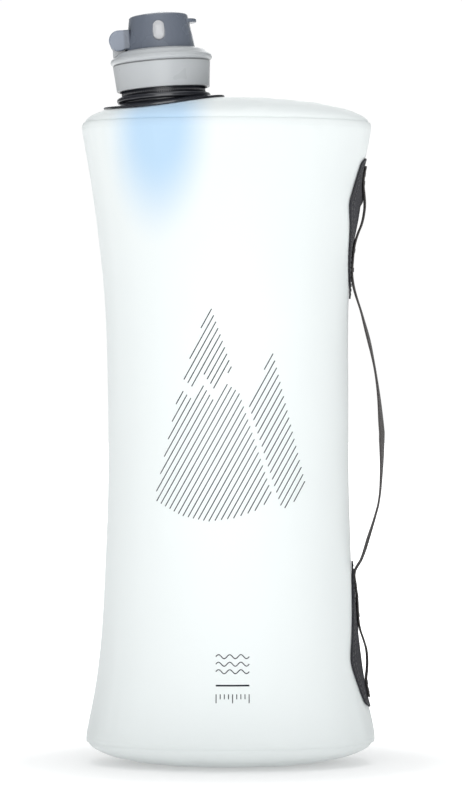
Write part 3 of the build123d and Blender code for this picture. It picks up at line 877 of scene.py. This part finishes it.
class BAG_OT_print(bpy.types.Operator):
    """Generic print: hatched peaks, waves, a rule and a row of ticks"""

    bl_idname = "bag.print"
    bl_label = "Print"

    def execute(self, context):
        settings = context.scene.bag_print
        ink = printing_ink()
        tree = print_tree()
        drawings = {"print_peaks": self.peaks(settings), "print_waves": self.waves(), "print_scale": self.scale()}
        for name, lines in drawings.items():
            values = {
                "Surface": bpy.data.objects["film_sleeve"],
                "Radius": settings.line_radius,
                "Sink": 0.1 * MM,
                "Material": ink,
            }
            piece = grow(name, lines_mesh(name, [self.fine(line) for line in lines]), tree, values)
            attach(piece, "bag")
        return {"FINISHED"}

    @staticmethod
    def fine(line):
        """The line's points, closer together, on a plane in front of the film."""
        points = []
        for before, after in zip(line, line[1:]):
            count = max(1, round((Vector(after) - Vector(before)).length / 1.5))
            points += [Vector(before).lerp(Vector(after), step / count) for step in range(count)]
        points.append(Vector(line[-1]))
        return [Vector((point.x * MM, -0.2, point.y * MM)) for point in points]

    def peaks(self, settings):
        """Two mountain peaks, drawn in slanting lines only; sizes in millimetres."""
        cap = [(-8, 217), (4, 182), (-1, 186.5), (-6, 178), (-11.5, 186), (-16, 179), (-20.5, 183)]
        face = [
            (-21.8, 178.5), (-16.3, 173.5), (-11.5, 180.5), (-6, 172.5), (-1, 181), (5.4, 176.5),
            (21, 128), (13, 122.5), (3, 119), (-9, 117.5), (-21, 120), (-33.5, 127),
        ]
        behind = [(20.5, 196), (36.5, 132), (31, 126.5), (25, 122.5), (10, 170)]
        lines = []
        for shape in (cap, face, behind):
            lines += self.hatch(shape, settings.hatch_spacing / MM, settings.hatch_slope)
        return lines

    @staticmethod
    def hatch(shape, spacing, slope):
        """Slanting lines that fill a closed outline."""
        along = Vector((math.cos(slope), math.sin(slope)))
        across = Vector((-along.y, along.x))
        corners = [Vector(corner) for corner in shape]
        offsets = [corner.dot(across) for corner in corners]
        lines = []
        for number in range(math.ceil(min(offsets) / spacing), math.floor(max(offsets) / spacing) + 1):
            level = number * spacing
            cuts = []
            for before, after in zip(corners, corners[1:] + corners[:1]):
                low, high = before.dot(across) - level, after.dot(across) - level
                if (low < 0) != (high < 0):
                    cuts.append(before.lerp(after, low / (low - high)).dot(along))
            cuts.sort()
            for first, last in zip(cuts[::2], cuts[1::2]):
                if last - first > 1.1 * spacing:
                    lines.append([tuple(across * level + along * first), tuple(across * level + along * last)])
        return lines

    @staticmethod
    def waves():
        """Three wave lines."""
        steps = range(33)
        return [
            [(-5.3 + 0.48 * step, height + 0.95 * math.sin(step * math.pi / 5.33)) for step in steps]
            for height in (55.2, 51.7, 48.2)
        ]

    @staticmethod
    def scale():
        """A rule with a row of ticks below it."""
        rule = [[(-5.3, height), (10.1, height)] for height in (41.5, 41.85)]
        ticks = [
            [(-5.2 + 1.9 * step, 37.6), (-5.2 + 1.9 * step, 33.4 if step % 4 == 0 else 35.3)] for step in range(9)
        ]
        return rule + ticks


class BAG_OT_cap(bpy.types.Operator):
    """Finish of the neck, cap and lid, with the grip ribs on the neck's shank"""

    bl_idname = "bag.cap"
    bl_label = "Neck and cap"

    shank_radius = 19.55 * MM
    inlay_middle = 33.25 * MM
    inlay_face = 14.9 * MM
    inlay_dome = 0.9 * MM
    inlay_half_width = 2.7 * MM
    inlay_straight = 1.8 * MM
    inlay_depth = 0.6 * MM
    rib_middle = 4.85 * MM
    rib_height = 2.3 * MM

    def execute(self, context):
        settings = context.scene.bag_cap
        black = moulded_plastic("neck_plastic", settings.neck_colour, 0.2, wear_colour=(0.06, 0.062, 0.07))
        black.node_tree.nodes["Principled BSDF"].inputs["Specular IOR Level"].default_value = 0.8
        finish_node("neck", black)
        collar = moulded_plastic("collar_plastic", settings.collar_colour, 0.3, lift=1.03)
        lid = moulded_plastic("lid_plastic", settings.lid_colour, 0.26, lift=1.05)
        # The collar is painted darker in the groove under its bead: painted shade.
        finish_node("cap_collar", recoloured(collar, groove_shade_mask, 0.4))
        # The lid's hinge cheeks are painted lighter: a painted highlight standing in for the front light's
        # reflection.
        finish_node("flip_lid", recoloured(lid, cheek_highlight_mask, 1.55))
        silicone = moulded_plastic("silicone_rubber", (0.55, 0.55, 0.54), 0.5, lift=1.03)
        finish_node("cap_gasket", silicone)
        finish_node("lid_plug", silicone)
        finish_node("hinge_pin", brushed_steel())
        values = {
            "Count": settings.rib_count,
            "Ring Radius": self.shank_radius,
            "Rib Size": (2 * settings.rib_depth, 0.5 * MM, self.rib_height),
            "Place": neck_seat + neck_up * self.rib_middle,
            "Tilt": neck_turn.to_euler(),
            "Material": black,
        }
        ribs = grow("neck_grip_ribs", bpy.data.meshes.new("neck_grip_ribs"), rib_tree(), values)
        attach(ribs, "bag")
        gloss = moulded_plastic("polished_plastic", settings.inlay_colour, 0.1, lift=1.03, grain_depth=0.000003)
        inlay = new_piece("lid_inlay", self.inlay(), gloss)
        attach(inlay, "lid")
        return {"FINISHED"}

    def inlay(self):
        """Polished pill, domed, in the dimple on the lid's front."""
        turns, rings = 96, 14
        rows = []
        for ring in range(rings + 1):
            scale = math.sin(math.pi / 2 * (0.01 + 0.99 * ring / rings))
            row = []
            for step in range(turns):
                angle = FULL_TURN * step / turns
                across = self.inlay_half_width * math.cos(angle) * scale
                up = self.inlay_half_width * math.sin(angle) * scale
                up += self.inlay_straight * scale * max(-1, min(1, 3 * math.sin(angle)))
                out = self.inlay_face + self.inlay_dome * math.sqrt(max(0, 1 - scale**2))
                row.append(neck_seat + neck_turn @ Vector((across, -out, self.inlay_middle + up)))
            rows.append(row)
        back = [point + Vector((0, self.inlay_depth, 0)) for point in rows[-1]]
        return face_outwards(grid_mesh("lid_inlay", rows + [back], True, close_ends=True))


class Patch:
    """Kite of fabric on the +X side: its blunt tip near the rim, its long taper towards the waist."""

    blunt = 11 * MM
    tongue = 5 * MM
    corner = 3.5 * MM
    widest_at = 0.335

    def __init__(self, name, tip, far_tip, widest, sewn, loop):
        self.name = name
        self.tip = tip
        self.inward = 1 if far_tip > tip else -1
        self.length = abs(far_tip - tip)
        self.shoulder = self.widest_at * self.length
        self.half = widest
        self.sewn = sewn
        self.loop = loop

    def half_at(self, reach):
        """Half the kite's width, this far from its tip."""
        rising = self.blunt + (self.half - self.blunt) * reach / self.shoulder
        narrowing = (self.half - self.tongue) / (self.length - self.shoulder - self.corner)
        falling = self.half - narrowing * (reach - self.shoulder)
        width = (rising + falling - math.sqrt((rising - falling) ** 2 + self.corner**2)) / 2
        near_end = min(reach, self.length - reach) / self.corner
        return width * math.sqrt(max(0, 1 - (1 - near_end) ** 2)) if near_end < 1 else width

    def area(self):
        """Area of the flat kite."""
        steps = 200
        stride = self.length / steps
        return sum(2 * self.half_at(stride * (step + 0.5)) * stride for step in range(steps))

    def stand_off(self, reach):
        """How far the webbing's middle plane stands off the film, this far from the tip."""
        before, after = self.sewn[0], self.sewn[-1]
        for one, other in zip(self.sewn, self.sewn[1:]):
            if one[0] * MM <= reach <= other[0] * MM:
                before, after = one, other
                break
        share = min(max((reach / MM - before[0]) / (after[0] - before[0]), 0), 1)
        return (before[1] + (after[1] - before[1]) * share) * MM

    def tented(self, reach, offset):
        """How far the fabric stands up to the webbing that is sewn to it."""
        settings = bpy.context.scene.bag_strap
        room = self.stand_off(reach) - settings.webbing_thickness / 2 - settings.patch_thickness - 0.3 * MM
        low, high = (edge * MM for edge in self.loop)
        loose = smooth(low - 1.5 * MM, low + 1.5 * MM, reach) * (1 - smooth(high - 2 * MM, high + 2 * MM, reach))
        end = smooth(self.length, self.length - 6 * MM, reach)
        return max(room, 0) * (1 - loose) * end * bump(0, 8 * MM, offset)

    def point(self, reach, offset, lift):
        """Point this far along and across the kite, lifted off the film."""
        height = self.tip + self.inward * reach
        return film_point(math.asin(offset / half_depth(height)), height, lift)


class BAG_OT_patches(bpy.types.Operator):
    """Two fabric patches with their seams"""

    bl_idname = "bag.patches"
    bl_label = "Patches"

    rows = 110
    columns = 56

    def execute(self, context):
        settings = context.scene.bag_strap
        cloth = woven("patch_fabric", tuple(settings.fabric_colour), 1500.0, 0.75)
        thread = sewing_thread()
        stitches = stitch_tree()
        for patch in patches():
            piece = new_piece(patch.name + "_fabric", self.kite(patch, settings), cloth)
            give_thickness(piece, settings.patch_thickness, outwards=True)
            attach(piece, "bag")
            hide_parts(patch.name)
            patch.area()
            guide = lines_mesh("seam", self.seams(patch, settings))
            values = {
                "Stitch": settings.stitch_length,
                "Gap": 0.35 * settings.stitch_length,
                "Radius": settings.thread_radius,
                "Material": thread,
            }
            seam = grow(patch.name + "_seam", guide, stitches, values)
            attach(seam, "bag")
        return {"FINISHED"}

    def kite(self, patch, settings):
        """Grid of the kite on the film, with a slack edge and small puckers between the stitches."""
        rows, cloth = [], []
        for step in range(self.rows + 1):
            share = 0.5 - math.cos(math.pi * step / self.rows) / 2
            reach = patch.length * (0.004 + 0.992 * share)
            half = patch.half_at(reach)
            row = []
            for column in range(self.columns + 1):
                offset = half * (2 * column / self.columns - 1)
                edge = half - abs(offset)
                pucker = noise.noise(Vector((reach / 0.0022, offset / 0.0022, 3))) * 0.12 * MM
                slack = 0.25 * MM * (1 - smooth(0, settings.hem, edge))
                lift = 0.12 * MM + slack + abs(pucker) + patch.tented(reach, offset)
                row.append(patch.point(reach, offset, lift))
                cloth.append((offset, reach))
            rows.append(row)
        mesh = grid_mesh(patch.name, rows, False, flip=patch.inward < 0)
        paint_uv(mesh, cloth)
        return mesh

    @staticmethod
    def seams(patch, settings):
        """Two rows of stitches inside the kite's edge."""
        lines = []
        for inset in (settings.hem, 2.2 * settings.hem):
            reaches = [inset + (patch.length - 2 * inset) * step / 80 for step in range(81)]
            lift = 0.35 * MM + settings.patch_thickness
            halves = [max(patch.half_at(reach) - inset, 0) for reach in reaches]
            right, left = (
                [
                    patch.point(reach, side * half, lift + patch.tented(reach, side * half))
                    for reach, half in zip(reaches, halves)
                ]
                for side in (1, -1)
            )
            lines.append(right + left[::-1] + right[:1])
        return lines


def patches():
    """The upper and the lower patch, from their frame nodes."""
    half = upper_patch_high.y + 0.3 * MM
    return (
        Patch(
            "upper_patch", upper_patch_high.z + 0.3 * MM, upper_patch_low.z - 2 * MM, half,
            ((4, 1.15), (9, 1.1), (13, 1.3), (18, 2.1), (22, 2.7), (26, 2.9), (31, 2.7), (36, 1.8), (41, 1.4),
             (48, 1.55), (57, 1.65)),
            (21.5, 38.5),
        ),
        Patch(
            "lower_patch", lower_patch_low.z - 0.3 * MM, lower_patch_high.z + 4.5 * MM, half,
            ((5, 1.3), (9, 1.3), (13, 1.5), (18, 2.7), (22.5, 3.4), (27, 3.6), (32, 2.8), (36.5, 1.8), (41, 1.45),
             (51, 1.9), (58, 1.7), (64, 1.6)),
            (11, 37),
        ),
    )


# Twist in degrees; each row is a bump's size in degrees, and its centre and spread in metres from the middle.
TWIST_BASE = 2.6
TWIST = ((11.5, 0, 0.018), (5.5, 0.045, 0.009), (-4.5, -0.052, 0.009))


class BAG_OT_strap(bpy.types.Operator):
    """Webbing carry strap: two lengths that meet in the middle of the handle, and their bar-tacks"""

    bl_idname = "bag.strap"
    bl_label = "Carry strap"

    row_spacing = 0.55 * MM
    across = 22
    ridges = 7
    swing_start = 6 * MM
    swing_end = 26 * MM
    tack_lines = 15
    tack_reaches = (8, 12, 44, 53)
    upper_bow = ((-9.2, 55), (-4.9, 38), (-2.1, 22), (0, 0))
    lower_bow = ((-9.7, -60), (-6.1, -49), (-3.0, -39), (-1.5, -33), (-0.3, -20), (0, 0))

    def execute(self, context):
        settings = context.scene.bag_strap
        webbing = woven("strap_webbing", tuple(settings.webbing_colour), 1100.0, 0.65)
        thread = bpy.data.materials["sewing_thread"]
        upper, lower = self.routes()
        halves = (
            ("strap_upper_half", upper, -1, handle_high.z, ("strap_upper_end", "carry_strap")),
            ("strap_lower_half", lower, 1, handle_low.z, ("strap_lower_end",)),
        )
        for name, route, inward, root, nodes in halves:
            path = smooth_path(route, self.row_spacing)
            piece = new_piece(name, self.webbing(name, path, settings), webbing)
            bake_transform(piece)
            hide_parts(*nodes)
        for patch, node in zip(patches(), ("upper_bartacks", "lower_bartacks")):
            guide = lines_mesh(node, self.tacks(patch, settings))
            values = {"Radius": settings.thread_radius * 0.9, "Material": thread}
            tacks = grow(node + "_thread", guide, thread_tree(), values)
            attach(tacks, "bag")
            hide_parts(node)
        return {"FINISHED"}

    @staticmethod
    def beside_film(height, stand_off):
        """Point of the webbing's middle plane that stands this far off the film, in millimetres."""
        return Vector((film_point(0, height).x + stand_off * MM, 0, height))

    def routes(self):
        """Middle planes of the two lengths, from the sewn tip over the lash loop to the handle's middle."""
        crown = Vector((handle_high.x - 0.7 * MM, 0, (handle_low.z + handle_high.z) / 2))
        routes = []
        for patch, bow in zip(patches(), (self.upper_bow, self.lower_bow)):
            route = [
                self.beside_film(patch.tip + patch.inward * reach * MM, stand_off) for reach, stand_off in patch.sewn
            ]
            routes.append(route + [crown + Vector((inset, 0, rise)) * MM for inset, rise in bow])
        return routes

    @staticmethod
    def twist(height):
        """How far the webbing turns about its own length at this height."""
        from_middle = height - (handle_low.z + handle_high.z) / 2
        turn = TWIST_BASE + bumps(TWIST, from_middle)
        return math.radians(turn * smooth(0.075, 0.055, abs(from_middle)))

    def webbing(self, name, path, settings):
        """Flat webbing with fine lengthwise ridges and soft edges."""
        rows, cloth = [], []
        travelled = 0.0
        half_thick = settings.webbing_thickness / 2
        for index, spot in enumerate(path):
            before = path[max(index - 1, 0)]
            after = path[min(index + 1, len(path) - 1)]
            travelled += (spot - before).length
            along = (after - before).normalized()
            if index == len(path) - 1:
                along = Vector((0, 0, along.z)).normalized()
            side = Matrix.Rotation(self.twist(spot.z) * -along.z, 3, along) @ Vector((0, 1, 0))
            face = side.cross(along).normalized()
            if face.x < 0:
                face = -face
            upper_face, lower_face = [], []
            for step in range(self.across + 1):
                share = 2 * step / self.across - 1
                ridge = 0.045 * MM * abs(math.sin(math.pi * self.ridges * share / 2))
                thick = (half_thick + ridge) * math.sqrt(max(0.12, 1 - abs(share) ** 9))
                centre = spot + side * (settings.webbing_width / 2 * share)
                upper_face.append((centre + face * thick, share))
                lower_face.append((centre - face * thick, share))
            ring = upper_face + lower_face[::-1]
            rows.append([point for point, share in ring])
            cloth += [(share * settings.webbing_width / 2, travelled) for point, share in ring]
        mesh = grid_mesh(name, rows, True, close_ends=True)
        paint_uv(mesh, cloth)
        return face_outwards(mesh, sharp_ends=True)

    def tacks(self, patch, settings):
        """Zigzag lines of thread across the webbing at its sewn places."""
        lines = []
        for reach in self.tack_reaches:
            height = patch.tip + patch.inward * reach * MM
            stand_off = (patch.stand_off(reach * MM) + settings.webbing_thickness / 2) / MM
            zigzag = []
            for step in range(2 * self.tack_lines + 1):
                side = settings.webbing_width * 0.42 * (2 * (step / (2 * self.tack_lines)) - 1)
                rise = 0.9 * MM * (1 if step % 2 else -1)
                spot = self.beside_film(height + rise, stand_off)
                zigzag.append(spot + Vector((0, side, 0)))
            lines.append(zigzag)
        return lines


# ---- stage -----------------------------------------------------------------------------------
class BAG_OT_stage(bpy.types.Operator):
    """Floor, backdrop, lights and camera"""

    bl_idname = "bag.stage"
    bl_label = "Stage"

    aim = Vector((1.9 * MM, 0, 0.1724))
    camera_height = 0.19
    lens = 142.1
    floor_half = 6.0
    # Ranges, in metres from the bag, over which the floor's painted shadow fades out.
    fade_shape = (0.75, 1, 1)
    contact_shadow_fade = (0.03, 0.12)
    glow_fade = (0.12, 0.4)
    shade_fade = (0.07, 0.12)

    def execute(self, context):
        settings = context.scene.bag_stage
        self.floor()
        self.world(settings)
        self.light("key", Vector((0.0, -2.4, 0.4)), 1.7, 1.5, settings.key_power)
        self.light("back", Vector((0.0, 2.2, 1.1)), 1.6, 1.2, settings.key_power * 0.5)
        self.light("top", Vector((0.0, -0.35, 1.7)), 1.6, 1.6, settings.key_power * 0.65)
        camera_data = bpy.data.cameras.new("camera")
        camera_data.sensor_fit = "VERTICAL"
        camera_data.sensor_height = 36.0
        camera_data.lens = self.lens
        camera = new_object("camera", camera_data)
        camera.location = (self.aim.x, -settings.camera_distance, self.camera_height)
        camera.rotation_euler = (self.aim - camera.location).to_track_quat("-Z", "Y").to_euler()
        context.scene.camera = camera
        context.scene.view_settings.view_transform = "Standard"
        return {"FINISHED"}

    def floor(self):
        """White floor with a painted contact shadow: it glows less and is painted darker beside the bag."""
        half = self.floor_half
        mesh = bpy.data.meshes.new("floor")
        corners = [(-half, -half, 0), (half, -half, 0), (half, half, 0), (-half, half, 0)]
        mesh.from_pydata(corners, [], [(0, 1, 2, 3)])
        material, tree, shader = new_material(
            "white_floor", Roughness=0.9, Specular_IOR_Level=0.0, Emission_Strength=1.0
        )
        grain = group_in(tree, "moulded_grain", grain_group, {"Fineness": 300.0, "Patch Size": 3.0})
        narrowed = vectors(tree, "MULTIPLY", object_place(tree), self.fade_shape)
        away = vectors(tree, "LENGTH", narrowed)
        # Painted shadow: the floor's glow is dimmest near the bag and rises to full white farther out.
        glow = shades(tree, ranged(tree, away, 0, 1, *self.contact_shadow_fade), grey(0.26), grey(0.55))
        far = shades(tree, ranged(tree, away, 0, 1, *self.glow_fade), glow, grey(1))
        tree.links.new(far, shader.inputs["Emission Color"])
        white = shades(tree, grain.outputs["Tone"], grey(0.93), grey(0.95))
        # Painted shadow: the floor's colour is darker beside the bag.
        shaded = shades(tree, ranged(tree, away, 0, 1, *self.shade_fade), grey(0.69), white)
        tree.links.new(shaded, shader.inputs["Base Color"])
        mesh.materials.append(material)
        floor = new_object("floor", mesh)

    @staticmethod
    def world(settings):
        """White backdrop for the camera, and a softer white for everything that the object reflects."""
        world = bpy.data.worlds.new("studio")
        world.use_nodes = True
        tree = world.node_tree
        tree.nodes.clear()
        seen = node_in(tree, "ShaderNodeBackground", {"Color": (1, 1, 1, 1), "Strength": 1.02})
        place = node_in(tree, "ShaderNodeTexCoord")
        parts = node_in(tree, "ShaderNodeSeparateXYZ", {0: place.outputs["Generated"]})
        aside = maths(tree, "ABSOLUTE", parts.outputs["X"])
        strength = ranged(tree, aside, 1.15 * settings.ambient, 0.2 * settings.ambient, 0.3, 0.9)
        felt = node_in(tree, "ShaderNodeBackground", {"Color": (0.96, 0.99, 1, 1), "Strength": strength})
        path = node_in(tree, "ShaderNodeLightPath")
        either = node_in(
            tree, "ShaderNodeMixShader",
            {0: path.outputs["Is Camera Ray"], 1: felt.outputs[0], 2: seen.outputs[0]},
        )
        end = node_in(tree, "ShaderNodeOutputWorld")
        tree.links.new(either.outputs[0], end.inputs[0])
        bpy.context.scene.world = world

    def light(self, name, place, width, depth, power):
        """Rectangular soft light that faces the bag."""
        data = bpy.data.lights.new(name, "AREA")
        data.shape = "RECTANGLE"
        data.size = width
        data.size_y = depth
        data.energy = power
        lamp = new_object(name, data)
        lamp.location = place
        lamp.rotation_euler = (self.aim - place).to_track_quat("-Z", "Y").to_euler()


class BAG_PT_panel(bpy.types.Panel):
    """Lists the bag's pieces"""

    bl_label = "Water bag"
    bl_idname = "BAG_PT_panel"
    bl_space_type = "VIEW_3D"
    bl_region_type = "UI"
    bl_category = "Water bag"

    def draw(self, context):
        for operator in OPERATORS:
            self.layout.operator(operator.bl_idname)


SETTINGS = {
    "bag_film": FilmSettings,
    "bag_strap": StrapSettings,
    "bag_print": PrintSettings,
    "bag_cap": CapSettings,
    "bag_stage": StageSettings,
}
OPERATORS = (BAG_OT_stage, BAG_OT_film, BAG_OT_cap, BAG_OT_patches, BAG_OT_strap, BAG_OT_print)


def register():
    for name, group in SETTINGS.items():
        bpy.utils.register_class(group)
        setattr(bpy.types.Scene, name, PointerProperty(type=group))
    for operator in OPERATORS:
        bpy.utils.register_class(operator)
    bpy.utils.register_class(BAG_PT_panel)


def unregister():
    bpy.utils.unregister_class(BAG_PT_panel)
    for operator in reversed(OPERATORS):
        bpy.utils.unregister_class(operator)
    for name, group in SETTINGS.items():
        delattr(bpy.types.Scene, name)
        bpy.utils.unregister_class(group)


def main():
    register()
    bpy.ops.bag.stage()
    bpy.ops.bag.film()
    bpy.ops.bag.cap()
    bpy.ops.bag.patches()
    bpy.ops.bag.strap()
    bpy.ops.bag.print()


if __name__ == "__main__":
    main()
